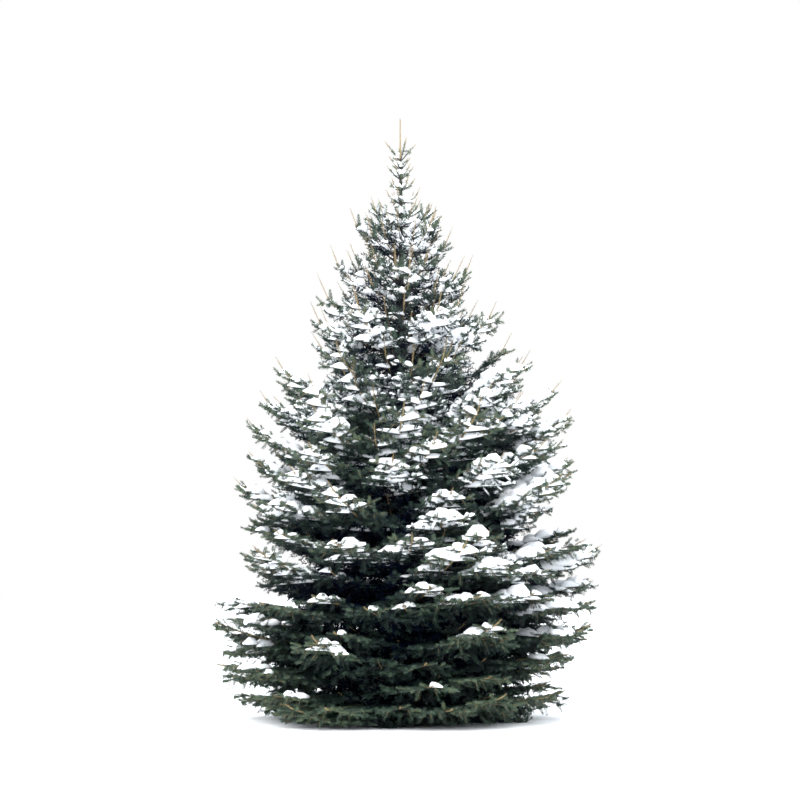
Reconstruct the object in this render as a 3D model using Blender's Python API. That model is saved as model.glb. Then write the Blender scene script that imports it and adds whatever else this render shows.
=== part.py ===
"""A young Norway spruce standing in the ground, about 4.5 m tall and 3 m wide.

The crown is built in tiers. Each tier is a ring of boughs that leave the trunk at about one height and
curve up towards their tips. Each bough carries one mass of foliage, which keeps to its own share of the
crown: a stem that goes on along the bough's curve, with sprays of needles set round it in a spiral.
Azimuths are measured from +X towards +Y. The origin is the centre of the trunk's flat cut at ground level.
"""

import math

import bmesh
import bpy
from mathutils import Vector
from mathutils.bvhtree import BVHTree

# ---------------------------------------------------------------- driving dimensions, in metres
TREE_HEIGHT = 4.5
CLEARANCE = 0.0003
GROUND_GAP = 0.012

# How far the bough tips reach from the trunk's axis, by the height of the tip.
CROWN_OUTLINE = (
    (0.00, 1.20),
    (0.50, 1.36),
    (1.10, 1.45),
    (1.60, 1.30),
    (2.20, 1.21),
    (2.60, 1.02),
    (3.00, 0.82),
    (3.40, 0.60),
    (3.90, 0.38),
    (4.30, 0.14),
)
FULLER_SIDE = 0.06  # the +X side reaches further by this share at the fuller height
FULLER_HEIGHT = 1.9
FULLER_SPREAD = 1.0

TRUNK_RADIUS = 0.060
TRUNK_TIP_RADIUS = 0.0035
TRUNK_TAPER = 0.95
TRUNK_LEAN = 0.012  # how far the trunk bows out of plumb at mid height
FLARE_RADIUS = 0.052
FLARE_HEIGHT = 0.085
FLARE_LOBES = 5
TRUNK_SIDES = 15
TRUNK_RING_HEIGHTS = (0.0, 0.03, 0.08, 0.16, 0.32, 0.70, 1.24, 1.90, 2.60, 3.30, 3.90, 4.20, 4.5)

# One entry a tier, from the ground up: the height where its boughs leave the trunk, how many there are,
# the azimuth of the first in degrees, and whether they show bare wood before the foliage starts.
TIERS = (
    (0.24, 5, 18.0, True),
    (0.60, 6, 0.0, True),
    (0.97, 5, 0.0, True),
    (1.34, 5, 36.0, False),
    (1.72, 6, 0.0, False),
    (2.11, 4, 20.0, False),
    (2.52, 4, 65.0, False),
    (2.94, 4, 10.0, False),
    (3.37, 3, 60.0, False),
)
HEIGHT_SCATTER = 0.09  # boughs of one tier leave the trunk within this much of each other
AZIMUTH_SCATTER = 0.12

# A bough climbs by RISE times its reach, and its tip slopes by TIP_SLOPE. Both grow with height.
RISE_AT_GROUND = -0.10
RISE_PER_METRE = 0.29
TIP_SLOPE_AT_GROUND = 0.30
TIP_SLOPE_PER_METRE = 0.22
BOUGH_SWING = 0.16  # how far, in radians, a bough's tip swings to one side

BARE_SHARE = 0.32  # share of a bough's reach that is a bare limb
INNER_SHARE = 0.20  # where a mass that grows straight from the trunk has its first spray
STEM_SHARE = 0.90  # the foliage's stem stops here, and its end spray goes on to the tip
BOUGH_ROOT_RADIUS = 0.0245
BOUGH_TIP_RADIUS = 0.0155
STEM_LEAST_RADIUS = 0.002
STEM_RADIUS_PER_REACH = 0.0095
STEM_TIP_RADIUS = 0.0045
BOUGH_SIDES = 6
STEM_SIDES = 3

SPACE_ABOVE = 0.30  # a mass reaches this far above its bough's curve, and this far below
SPACE_BELOW = 0.20
SECTOR_GAP = 0.010

SPRAY_PITCH = 0.068  # distance between sprays along a stem
SPRAY_TURN = math.radians(137.5)  # each spray is turned round the stem by this from the one before
SPRAY_OPENING = math.radians(50)  # angle between a spray and its stem
SPRAY_FLATTENING = 0.75
SPRAY_LENGTH_AT_TIP = 0.16
SPRAY_LENGTH_PER_METRE = 0.50  # sprays are longer by this much for each metre from the bough's tip
SPRAY_WIDTH_PER_LENGTH = 0.21  # half the width
SPRAY_LEAST_WIDTH = 0.018
SPRAY_THICKNESS = 0.015
SPRAY_ROLL = math.radians(38)
SPRAY_SINK = 0.004
END_SPRAY_WIDTH = 0.075
END_SPRAY_SINK = 0.05
FIT_TRIALS = (1.0, 0.85, 0.70, 0.56, 0.42)

TUFT_FOOT = 3.66  # the last mass goes all round the leading shoot, on a slim core
TUFT_TOP = 4.24
TUFT_NAME = "top_foliage"
TUFT_CORE = ((0.0, 0.015), (0.15, 0.030), (1.0, 0.0165))  # share of its height, and radius there
TUFT_SIDES = 6
TUFT_SPRAY_ROOT = 0.0105
TUFT_SPRAYS = 11
TUFT_LENGTHS = (0.42, 0.14)  # of the lowest and the highest spray
TUFT_LIFTS = (math.radians(38), math.radians(60))

NEEDLE_GREEN = (0.055, 0.085, 0.060)
BARK_BROWN = (0.135, 0.085, 0.055)


# ---------------------------------------------------------------- helpers
def clear_scene():
    """Removes every object that the file opened with."""
    for item in list(bpy.data.objects):
        bpy.data.objects.remove(item, do_unlink=True)


def make_material(name, colour, roughness):
    """A Principled BSDF of one colour."""
    material = bpy.data.materials.new(name)
    material.use_nodes = True
    shader = material.node_tree.nodes["Principled BSDF"]
    shader.inputs["Base Color"].default_value = (*colour, 1.0)
    shader.inputs["Roughness"].default_value = roughness
    shader.inputs["Metallic"].default_value = 0.0
    return material


def scatter(tier, index, item):
    """A repeatable number from 0 to 1 for three whole numbers: the fraction of a fast sine."""
    value = math.sin(12.9898 * tier + 78.233 * index + 37.719 * item + 4.1) * 43758.5453
    return value - math.floor(value)


def blend_table(table, key):
    """Reads a table of (key, value) pairs at a key between them, along straight lines."""
    if key <= table[0][0]:
        return table[0][1]
    for (low, first), (high, second) in zip(table, table[1:]):
        if key <= high:
            return first + (second - first) * (key - low) / (high - low)
    return table[-1][1]


def mesh_object(name, shape, material):
    """A linked object of these (points, faces), with its faces turned outwards."""
    points, faces = shape
    mesh = bpy.data.meshes.new(name)
    mesh.from_pydata([tuple(p) for p in points], [], faces)
    body = bmesh.new()
    body.from_mesh(mesh)
    bmesh.ops.recalc_face_normals(body, faces=body.faces)
    body.to_mesh(mesh)
    body.free()
    mesh.materials.append(material)
    item = bpy.data.objects.new(name, mesh)
    bpy.context.scene.collection.objects.link(item)
    return item


def tube(rings):
    """Points and faces of a closed tube through rings that have the same number of points."""
    sides = len(rings[0])
    points = [p for ring in rings for p in ring]
    faces = [tuple(reversed(range(sides))), tuple(range(len(points) - sides, len(points)))]
    for k in range(len(rings) - 1):
        near, far = k * sides, (k + 1) * sides
        for i in range(sides):
            j = (i + 1) % sides
            faces.append((near + i, near + j, far + j))
            faces.append((near + i, far + j, far + i))
    return points, faces


def ring_of(centre, across, over, radius, sides):
    """Points round a centre, in the plane of two directions."""
    turns = [2 * math.pi * (i + 0.25) / sides for i in range(sides)]
    return [centre + radius * (math.cos(turn) * across + math.sin(turn) * over) for turn in turns]


# ---------------------------------------------------------------- the trunk
def trunk_axis(height):
    """The trunk's centre at a height: plumb at the ground and the tip, bowed a little between."""
    bow = TRUNK_LEAN * math.sin(math.pi * height / TREE_HEIGHT)
    return Vector((bow, -0.5 * bow, height))


def trunk_radius(height, azimuth):
    """The trunk's radius at a height: its taper, and a lobed root flare close to the ground."""
    share = max(0.0, 1.0 - height / TREE_HEIGHT)
    radius = TRUNK_TIP_RADIUS + (TRUNK_RADIUS - TRUNK_TIP_RADIUS) * share**TRUNK_TAPER
    lobe = 0.6 + 0.4 * math.cos(FLARE_LOBES * azimuth + 0.6)
    return radius + FLARE_RADIUS * math.exp(-height / FLARE_HEIGHT) * lobe


def trunk_shape(grown_by):
    """Rings of points up the trunk, each grown outwards by the same amount."""
    rings = []
    for height in TRUNK_RING_HEIGHTS:
        centre = trunk_axis(height)
        ring = []
        for i in range(TRUNK_SIDES):
            azimuth = 2 * math.pi * i / TRUNK_SIDES
            radius = trunk_radius(height, azimuth) + grown_by
            ring.append(centre + Vector((radius * math.cos(azimuth), radius * math.sin(azimuth), 0)))
        rings.append(ring)
    return tube(rings)


# ---------------------------------------------------------------- bough curves
def tip_reach(height, rise, azimuth):
    """The reach at which a bough that leaves the trunk at this height meets the crown's outline."""
    low, high = 0.0, 2.0
    for _ in range(30):
        reach = (low + high) / 2
        tip = height + rise * reach
        fuller = FULLER_SIDE * math.exp(-(((tip - FULLER_HEIGHT) / FULLER_SPREAD) ** 2))
        if reach < blend_table(CROWN_OUTLINE, tip) * (1 + fuller * math.cos(azimuth)):
            low = reach
        else:
            high = reach
    return low


class Limb:
    """One bough's centre line, z = height + slope r + curl r r, which swings a little to one side."""

    def __init__(self, tier, index):
        mean_height, count, first_azimuth, self.bare = TIERS[tier]
        self.tier, self.index = tier, index
        self.middle = math.radians(first_azimuth) + 2 * math.pi * index / count
        self.half_angle = math.pi / count
        self.azimuth = self.middle + AZIMUTH_SCATTER * (scatter(tier, index, 1) - 0.5)
        self.height = mean_height + HEIGHT_SCATTER * (scatter(tier, index, 2) - 0.5)
        rise = RISE_AT_GROUND + RISE_PER_METRE * self.height
        tip_slope = TIP_SLOPE_AT_GROUND + TIP_SLOPE_PER_METRE * self.height
        self.reach = tip_reach(self.height, rise, self.azimuth)
        self.slope = 2 * rise - tip_slope
        self.curl = (tip_slope - rise) / self.reach
        self.swing = BOUGH_SWING * (scatter(tier, index, 3) - 0.5)
        self.foliage_start = (BARE_SHARE if self.bare else INNER_SHARE) * self.reach
        self.stem_end = STEM_SHARE * self.reach
        self.bough_name = f"tier{tier + 1}_bough_{index + 1}"
        self.foliage_name = f"tier{tier + 1}_foliage_{index + 1}"

    def rise(self, radius):
        return self.slope * radius + self.curl * radius * radius

    def at(self, radius):
        azimuth = self.azimuth + self.swing * (radius / self.reach) ** 2
        foot = trunk_axis(self.height)
        return foot + Vector((radius * math.cos(azimuth), radius * math.sin(azimuth), self.rise(radius)))

    def frame(self, radius):
        """The tangent outwards, the level direction across, and the direction over the limb."""
        step = 0.01
        along = (self.at(radius + step) - self.at(radius - step)).normalized()
        across = Vector((-along.y, along.x, 0)).normalized()
        return along, across, along.cross(across)

    def shape(self, start, end, start_radius, end_radius, sides, steps):
        """A tapering tube along the limb from one distance to another."""
        rings = []
        for k in range(steps + 1):
            share = k / steps
            radius = start + (end - start) * share
            thickness = start_radius + (end_radius - start_radius) * share
            _, across, over = self.frame(radius)
            rings.append(ring_of(self.at(radius), across, over, thickness, sides))
        return tube(rings)

    def space_holds(self, point):
        """Whether a point lies in this bough's own share of the crown."""
        foot = trunk_axis(self.height)
        x, y = point.x - foot.x, point.y - foot.y
        radius = math.hypot(x, y)
        turn = (math.atan2(y, x) - self.middle + math.pi) % (2 * math.pi) - math.pi
        above = point.z - self.height - self.rise(radius)
        return (
            radius <= self.reach
            and point.z > GROUND_GAP
            and abs(turn) * radius < self.half_angle * radius - SECTOR_GAP
            and -SPACE_BELOW < above < SPACE_ABOVE
        )


# ---------------------------------------------------------------- sprays of needles
# A toothed blade's outline, as (share of length, share of half width), with a tooth at each side.
TOOTHED_OUTLINE = ((0.0, 0.0), (0.30, 1.0), (0.53, 0.38), (1.0, 0.0), (0.64, -0.84), (0.42, -0.36))
BLADE_CREST = 0.44


def blade(root, heading, across, length, width, mirrored):
    """A thin closed blade: its outline, joined to one crest above and one below."""
    side = -1 if mirrored else 1
    over = heading.cross(across).normalized()
    points = [root + heading * (x * length) + across * (side * y * width) for x, y in TOOTHED_OUTLINE]
    crest = root + heading * (BLADE_CREST * length)
    points += [crest + over * SPRAY_THICKNESS, crest - over * SPRAY_THICKNESS]
    count = len(TOOTHED_OUTLINE)
    faces = []
    for i in range(count):
        j = (i + 1) % count
        faces.append((i, j, count))
        faces.append((j, i, count + 1))
    return points, faces


class Crown:
    """Everything that has its place already, so that a new spray can be kept clear of it."""

    def __init__(self):
        self.trees = {}

    def add(self, owner, shape):
        self.trees.setdefault(owner, []).append(BVHTree.FromPolygons(*shape))

    def touches(self, owner, shape):
        """Whether a shape would touch anything that belongs to another owner."""
        tried = BVHTree.FromPolygons(*shape)
        return any(
            tried.overlap(tree) for other, trees in self.trees.items() if other != owner for tree in trees
        )


def fitted_blade(crown, owner, holds, root, heading, across, length, mirrored):
    """The longest of a few sizes of blade that keeps to its space and touches nothing, or None."""
    for share in FIT_TRIALS:
        width = SPRAY_LEAST_WIDTH + SPRAY_WIDTH_PER_LENGTH * length * share
        shape = blade(root, heading, across, length * share, width, mirrored)
        if all(holds(p) for p in shape[0][1:]) and not crown.touches(owner, shape):
            crown.add(owner, shape)
            return shape
    return None


def rolled(heading, level, roll):
    """The direction across a blade, turned about the blade's own length."""
    return math.cos(roll) * level + math.sin(roll) * heading.cross(level)


def end_spray(limb):
    """The spray that goes on from the stem's end to the bough's tip."""
    end = limb.at(limb.stem_end)
    along, across, _ = limb.frame(limb.stem_end)
    length = (limb.at(limb.reach) - end).length + END_SPRAY_SINK
    return blade(end - along * END_SPRAY_SINK, along, across, length, END_SPRAY_WIDTH, False)


def side_sprays(limb, crown):
    """The sprays of one mass that find room in a spiral round its stem."""
    made = []
    span = limb.stem_end - limb.foliage_start
    count = max(5, round(span / SPRAY_PITCH))
    first_turn = 2 * math.pi * scatter(limb.tier, limb.index, 4)
    for item in range(count):
        radius = limb.foliage_start + span * (item + 0.5) / count
        turn = first_turn + SPRAY_TURN * item
        along, across, over = limb.frame(radius)
        outwards = math.cos(turn) * across + SPRAY_FLATTENING * math.sin(turn) * over
        heading = (math.cos(SPRAY_OPENING) * along + math.sin(SPRAY_OPENING) * outwards).normalized()
        level = over.cross(heading).normalized()
        width_direction = rolled(heading, level, math.copysign(SPRAY_ROLL, math.cos(turn)))
        length = SPRAY_LENGTH_AT_TIP + SPRAY_LENGTH_PER_METRE * (limb.reach - radius)
        root = limb.at(radius) - heading * SPRAY_SINK
        mirrored = item % 2 == 0
        found = fitted_blade(
            crown, limb.foliage_name, limb.space_holds, root, heading, width_direction, length, mirrored
        )
        if found:
            made.append(found)
    return made


# ---------------------------------------------------------------- joining and cutting
def join_mass(name, core, sprays, material):
    """One solid of a core and the sprays that are sunk into it."""
    base = mesh_object(name, core, material)
    group = bpy.data.collections.new(name + "_sprays")
    for shape in sprays:
        item = mesh_object(name + "_spray", shape, material)
        bpy.context.scene.collection.objects.unlink(item)
        group.objects.link(item)
    union = base.modifiers.new("join_sprays", "BOOLEAN")
    union.operation = "UNION"
    union.operand_type = "COLLECTION"
    union.collection = group
    union.solver = "MANIFOLD"
    graph = bpy.context.evaluated_depsgraph_get()
    joined = bpy.data.meshes.new_from_object(base.evaluated_get(graph))
    base.modifiers.clear()
    base.data = joined
    for item in list(group.objects):
        bpy.data.objects.remove(item, do_unlink=True)
    bpy.data.collections.remove(group)
    return base


def cut_clear_of_trunk(item, cutter):
    """Takes the trunk, grown by the clearance, out of a limb that starts inside it."""
    cut = item.modifiers.new("clear_of_trunk", "BOOLEAN")
    cut.operation = "DIFFERENCE"
    cut.solver = "EXACT"
    cut.object = cutter


def shade(item):
    item.data.shade_smooth()
    item.data.set_sharp_from_angle(angle=math.radians(40))


# ---------------------------------------------------------------- the tree
def build_limbs(limbs, crown, cutter, bark):
    """The bare boughs, and each mass's stem and tip, which all have their place before any side spray."""
    for limb in limbs:
        stem_foot = 0.0
        if limb.bare:
            shape = limb.shape(0.0, limb.foliage_start, BOUGH_ROOT_RADIUS, BOUGH_TIP_RADIUS, BOUGH_SIDES, 4)
            bough = mesh_object(limb.bough_name, shape, bark)
            cut_clear_of_trunk(bough, cutter)
            shade(bough)
            crown.add(limb.bough_name, shape)
            stem_foot = limb.foliage_start + CLEARANCE
        stem_radius = STEM_LEAST_RADIUS + STEM_RADIUS_PER_REACH * limb.reach
        limb.stem = limb.shape(stem_foot, limb.stem_end, stem_radius, STEM_TIP_RADIUS, STEM_SIDES, 5)
        limb.tip = end_spray(limb)
        crown.add(limb.foliage_name, limb.stem)
        crown.add(limb.foliage_name, limb.tip)


def build_foliage(limb, crown, cutter, needles):
    """One mass: its stem with the sprays that find room round it."""
    sprays = [limb.tip, *side_sprays(limb, crown)]
    mass = join_mass(limb.foliage_name, limb.stem, sprays, needles)
    if not limb.bare:
        cut_clear_of_trunk(mass, cutter)


def build_tuft(crown, cutter, needles):
    """The mass round the leading shoot: a slim core that rising sprays stand out of."""
    level_x, level_y, up = Vector((1, 0, 0)), Vector((0, 1, 0)), Vector((0, 0, 1))
    core_rings = []
    for share, width in TUFT_CORE:
        centre = trunk_axis(TUFT_FOOT + (TUFT_TOP - TUFT_FOOT) * share)
        core_rings.append(ring_of(centre, level_x, level_y, width, TUFT_SIDES))
    sprays = []
    for item in range(TUFT_SPRAYS):
        share = (item + 0.5) / TUFT_SPRAYS
        turn = SPRAY_TURN * item
        lift = TUFT_LIFTS[0] + (TUFT_LIFTS[1] - TUFT_LIFTS[0]) * share
        length = TUFT_LENGTHS[0] + (TUFT_LENGTHS[1] - TUFT_LENGTHS[0]) * share
        outwards = math.cos(turn) * level_x + math.sin(turn) * level_y
        heading = math.cos(lift) * outwards + math.sin(lift) * up
        level = up.cross(outwards)
        centre = trunk_axis(TUFT_FOOT + (TUFT_TOP - TUFT_FOOT) * (0.1 + 0.75 * share))
        root = centre + outwards * TUFT_SPRAY_ROOT
        mirrored = item % 2 == 0
        found = fitted_blade(
            crown, TUFT_NAME, lambda p: p.z < TREE_HEIGHT, root, heading, level, length, mirrored
        )
        if found:
            sprays.append(found)
    tuft = join_mass(TUFT_NAME, tube(core_rings), sprays, needles)
    cut_clear_of_trunk(tuft, cutter)


def main():
    clear_scene()
    bark = make_material("bark", BARK_BROWN, 0.85)
    needles = make_material("needles", NEEDLE_GREEN, 0.60)
    trunk = mesh_object("trunk", trunk_shape(0.0), bark)
    shade(trunk)
    cutter = mesh_object("trunk_clearance", trunk_shape(CLEARANCE), bark)
    cutter.hide_render = True
    cutter.display_type = "WIRE"
    crown = Crown()
    limbs = [Limb(tier, index) for tier in range(len(TIERS)) for index in range(TIERS[tier][1])]
    build_limbs(limbs, crown, cutter, bark)
    for limb in limbs:
        build_foliage(limb, crown, cutter, needles)
    build_tuft(crown, cutter, needles)


main()
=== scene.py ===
"""The looks of a young Norway spruce under snow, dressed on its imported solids.

The limbs follow the same curves as the solids. Finer twigs grow on from them by the same rule, each with
needles set round it in a spiral, and snow settles on the twigs that see the sky. All sizes are in metres.
"""

import math

import bpy
import numpy as np
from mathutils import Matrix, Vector


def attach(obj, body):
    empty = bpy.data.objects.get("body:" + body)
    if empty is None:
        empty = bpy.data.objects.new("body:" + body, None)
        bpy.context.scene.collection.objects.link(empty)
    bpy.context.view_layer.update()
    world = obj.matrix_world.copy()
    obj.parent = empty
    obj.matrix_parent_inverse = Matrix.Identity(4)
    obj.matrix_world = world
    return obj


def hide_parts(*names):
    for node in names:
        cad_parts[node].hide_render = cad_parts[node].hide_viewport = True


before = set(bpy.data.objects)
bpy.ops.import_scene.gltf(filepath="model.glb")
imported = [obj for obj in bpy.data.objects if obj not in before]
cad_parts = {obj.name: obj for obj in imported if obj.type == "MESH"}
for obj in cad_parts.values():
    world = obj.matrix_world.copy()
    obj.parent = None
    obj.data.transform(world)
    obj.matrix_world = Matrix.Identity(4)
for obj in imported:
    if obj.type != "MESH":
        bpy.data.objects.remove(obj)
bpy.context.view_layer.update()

# ---------------------------------------------------------------- the source's sizes
TREE_HEIGHT = 4.5
GROUND_GAP = 0.012
LOWEST_TWIG = GROUND_GAP + 0.02
CROWN_OUTLINE = np.array(
    (
        (0.00, 1.20),
        (0.50, 1.36),
        (1.10, 1.45),
        (1.60, 1.30),
        (2.20, 1.21),
        (2.60, 1.02),
        (3.00, 0.82),
        (3.40, 0.60),
        (3.90, 0.38),
        (4.30, 0.14),
    )
)
FULLER_SIDE = 0.06
FULLER_HEIGHT = 1.9
FULLER_SPREAD = 1.0
TRUNK_RADIUS = 0.060
TRUNK_TIP_RADIUS = 0.0035
TRUNK_TAPER = 0.95
TRUNK_LEAN = 0.012
FLARE_RADIUS = 0.052
FLARE_HEIGHT = 0.085
FLARE_LOBES = 5
# Each tier: mean height, how many boughs, and the azimuth of the first one in degrees.
TIERS = (
    (0.24, 5, 18.0),
    (0.60, 6, 0.0),
    (0.97, 5, 0.0),
    (1.34, 5, 36.0),
    (1.72, 6, 0.0),
    (2.11, 4, 20.0),
    (2.52, 4, 65.0),
    (2.94, 4, 10.0),
    (3.37, 3, 60.0),
)
BARE_TIERS = 3  # tiers whose boughs are solids of their own
HEIGHT_SCATTER = 0.09
AZIMUTH_SCATTER = 0.12
RISE_AT_GROUND = -0.10
RISE_PER_METRE = 0.29
TIP_SLOPE_AT_GROUND = 0.30
TIP_SLOPE_PER_METRE = 0.22
BOUGH_SWING = 0.16
GOLDEN_TURN = math.radians(137.5)

# ---------------------------------------------------------------- finer growth
SEED = 7
# Further boughs beside each main one: height above it, turn in half sectors, share of the full reach.
# The lowest whorl has the most, so that nothing is seen through the foot of the crown.
FOOT_EXTRAS = (
    (-0.12, 0.95, 0.74),
    (-0.05, -0.45, 0.92),
    (0.05, -0.90, 0.84),
    (0.13, 0.45, 0.97),
    (0.20, -0.35, 0.90),
    (0.25, 0.95, 0.97),
    (0.31, -0.80, 0.86),
    (0.46, 0.10, 0.95),
)
NARROW_EXTRAS = (
    (0.05, -0.90, 0.93),
    (0.12, 0.50, 0.88),
    (0.19, -0.40, 0.95),
    (0.26, 0.95, 0.84),
    (0.33, 0.05, 0.92),
)
WIDE_EXTRAS = ((0.08, 1.00, 0.93), (0.18, -0.50, 0.88), (0.29, 0.45, 0.84))
WIDE_SECTOR_COUNT = 4
EXTRA_SPACING = 0.78  # scales the heights of the further boughs
EXTRA_SHIFT = 0.26  # how far the further boughs of a sector are shifted together
EXTRA_AZIMUTH_SCATTER = 0.30
EXTRA_HEIGHT_SCATTER = 0.17
EXTRA_SHARE_SCATTER = 0.16
EXTRA_CALM_HEIGHTS = (0.2, 2.4)  # the further boughs turn up less from here down
LEADER_ROOM = 0.11  # what the leading shoots of the high boughs take of their reach
LEADER_ROOM_HEIGHTS = (1.0, 2.8)
SIDE_ROOM = 0.04  # share by which the crown stands back at +Y and -Y
MAIN_BARE_SHARE = 0.14
EXTRA_BARE_SHARE = 0.34
INNER_BARE_SHARE = 0.15
TUFT_BARE_SHARE = 0.05
BOUGH_RADIUS = (0.0045, 0.0105)  # at its root: the least, and what each metre of reach adds
YOUNG_BOUGH_SHARE = 0.70  # from here out a bough has young bark
# Small whorls up the top of the stem: height, how many shoots, and their length.
TUFT_WHORLS = (
    (3.48, 5, 0.31),
    (3.58, 5, 0.25),
    (3.68, 5, 0.18),
    (3.77, 5, 0.14),
    (3.86, 5, 0.11),
    (3.95, 5, 0.09),
    (4.03, 5, 0.075),
    (4.10, 4, 0.070),
    (4.17, 4, 0.095),
)
TUFT_RISE_HEIGHTS = (3.85, 4.12)  # from here up the small boughs rise as the others do
TOP_STEM_FOOT = 3.55  # from here up the stem itself carries needles
LEADER_FOOT = 4.17
LEADER_SLIMNESS = 0.85
# Short limbs between the whorls, which fill the crown round the stem.
INNER_HEIGHTS = np.arange(0.22, 3.40, 0.115)
INNER_COUNT = 5
INNER_COUNT_LOW = 8
INNER_COUNT_HIGH = 3
INNER_COUNT_HEIGHTS = (1.1, 2.9)
INNER_SHARE = 0.39
INNER_SHARE_LOW = 0.55
INNER_SHARE_HEIGHT = 1.3

DROOP = 0.13  # of a low twig's length, by which its tip hangs
DROOP_HEIGHTS = (0.3, 1.8)
TWIG_OVERREACH = 0.010  # past the crown's outline
LATERAL_OPEN_HEIGHTS = (2.4, 3.8)  # from here up the twigs stand further apart
SUB_OPEN_HEIGHTS = (2.6, 3.6)
THIN_TOP_HEIGHTS = (3.3, 4.0)  # from here up the foliage is all on the outside
LATERAL_PITCH = 0.057
LATERAL_OPENING = (62.0, 56.0)  # degrees, next to the trunk and at the tip
HANGING_PITCH = 0.140
SUB_PITCH = 0.060
SUB_HANGING_PITCH = 0.115
SHOOT_PITCH = 0.050
NEEDLES_PER_METRE = 610.0
NEEDLE_LENGTH = 0.0225
NEEDLE_WIDTH = 0.0063
NEEDLE_LEAN = 54.0  # degrees from the twig at its foot
NEEDLE_LEAN_LOST = 20.0  # of which this much is lost at its tip
BUDS_PER_METRE = 240.0
BUD_LENGTH = 0.010
BUD_WIDTH = 0.005
BARE_UNDERSIDE = math.radians(50)
BARE_UNDER_BOUGH = math.radians(190)
YOUNG_DEPTH = 0.80  # twigs that end outside this have young bark
TINT_STEPS = (0.58, 0.80, 0.99)  # depths at which one tint gives way to the next
PIECE_LIMIT = 190000

# Snow over a spray and along a bough. Widths are half the width at the tip, its growth inwards, and the most.
SPRAY_SNOW_WIDTHS = (0.034, 0.50, 0.106)
BOUGH_SNOW_WIDTHS = (0.020, 0.14, 0.066)
SPRAY_SNOW = (6, 0.070, 0.26)  # rings, thickness, unevenness
BOUGH_SNOW = (16, 0.046, 1.5)
SPRAY_SNOW_LEAST = 0.34  # amounts of snow from which a blanket, or one along a bough, holds together
BOUGH_SNOW_LEAST = 0.25
LOW_SNOW_HEIGHT = 2.0  # where one piece of snow on the sprays ends and the next begins

rng = np.random.default_rng(SEED)


# ---------------------------------------------------------------- arrays of directions and places
def unit(vectors):
    """Each vector divided by its own length."""
    return vectors / np.maximum(np.linalg.norm(vectors, axis=-1, keepdims=True), 1e-12)


def dot(a, b):
    """The dot product of each pair of vectors."""
    return (a * b).sum(-1)


def ramp(value, low, high):
    """0 below low, 1 above high, and a smooth S between."""
    share = np.clip((value - low) / (high - low), 0.0, 1.0)
    return share * share * (3 - 2 * share)


def scatter(tier, index, item):
    """A repeatable number from 0 to 1 for three whole numbers: the fraction of a fast sine."""
    value = np.sin(12.9898 * tier + 78.233 * index + 37.719 * item + 4.1) * 43758.5453
    return value - np.floor(value)


def trunk_axis(height):
    """The trunk's centre at each height: x bows out by a half sine wave, y half as far the other way."""
    bow = TRUNK_LEAN * np.sin(np.pi * height / TREE_HEIGHT)
    return np.stack([bow, -0.5 * bow, height], axis=-1)


def trunk_radius(height, azimuth):
    """A power taper from foot to tip, plus a lobed flare that fades with height."""
    share = np.clip(1.0 - height / TREE_HEIGHT, 0.0, 1.0)
    radius = TRUNK_TIP_RADIUS + (TRUNK_RADIUS - TRUNK_TIP_RADIUS) * share**TRUNK_TAPER
    lobe = 0.6 + 0.4 * np.cos(FLARE_LOBES * azimuth + 0.6)
    return radius + FLARE_RADIUS * np.exp(-height / FLARE_HEIGHT) * lobe


def crown_radius(height, azimuth):
    """The crown's outline at a height, a little wider towards +X."""
    fuller = FULLER_SIDE * np.exp(-(((height - FULLER_HEIGHT) / FULLER_SPREAD) ** 2))
    return np.interp(height, CROWN_OUTLINE[:, 0], CROWN_OUTLINE[:, 1]) * (1 + fuller * np.cos(azimuth))


def tip_reach(height, rise, azimuth):
    """Where a bough of this rise meets the crown's outline, by halving the range thirty times."""
    low, high = np.zeros_like(height), np.full_like(height, 2.0)
    for _ in range(30):
        reach = (low + high) / 2
        inside = reach < crown_radius(height + rise * reach, azimuth)
        low, high = np.where(inside, reach, low), np.where(inside, high, reach)
    return low


class Boughs:
    """All the boughs at once. Each runs out along r at z = foot + slope r + curl r r and swings sideways.

    Its azimuth turns by swing (r / length)^2. Those of a given length are the small ones between the
    whorls, which rise less than the others. Low down the further boughs of a whorl turn up less at their
    tips. High up all stop short of the crown's outline, to leave room for their leading shoots.
    """

    def __init__(self, tier, foot, azimuth, swing, share, length, bare):
        small, further = length > 0, bare == EXTRA_BARE_SHARE
        flatter = np.where(small, 0.40 + 0.60 * ramp(foot, *TUFT_RISE_HEIGHTS), 1.0)
        calmer = np.where(further, 0.30 + 0.70 * ramp(foot, *EXTRA_CALM_HEIGHTS), 1.0)
        rise = (RISE_AT_GROUND + RISE_PER_METRE * foot) * flatter
        tip_slope = (TIP_SLOPE_AT_GROUND + TIP_SLOPE_PER_METRE * foot) * calmer
        self.tier = tier.astype(int)
        self.foot, self.azimuth, self.swing, self.bare = foot, azimuth, swing, bare
        share = share - SIDE_ROOM * further * np.sin(azimuth) ** 2
        reach = share * tip_reach(foot, rise, azimuth) - LEADER_ROOM * ramp(foot, *LEADER_ROOM_HEIGHTS)
        self.length = np.where(small, length, reach)
        self.slope = 2 * rise - tip_slope
        self.curl = (tip_slope - rise) / self.length
        self.radius = BOUGH_RADIUS[0] + BOUGH_RADIUS[1] * self.length

    def at(self, which, r):
        """The place on each numbered bough at r from the trunk's axis."""
        turn = self.azimuth[which] + self.swing[which] * (r / self.length[which]) ** 2
        rise = self.slope[which] * r + self.curl[which] * r * r
        return trunk_axis(self.foot[which]) + np.stack([r * np.cos(turn), r * np.sin(turn), rise], axis=-1)

    def frame(self, which, r):
        """Along is the curve's own slope, across is level, and over is square to both."""
        along = unit(self.at(which, r + 0.005) - self.at(which, r - 0.005))
        across = unit(np.stack([-along[:, 1], along[:, 0], np.zeros(len(along))], axis=-1))
        return along, across, np.cross(along, across)


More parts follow.
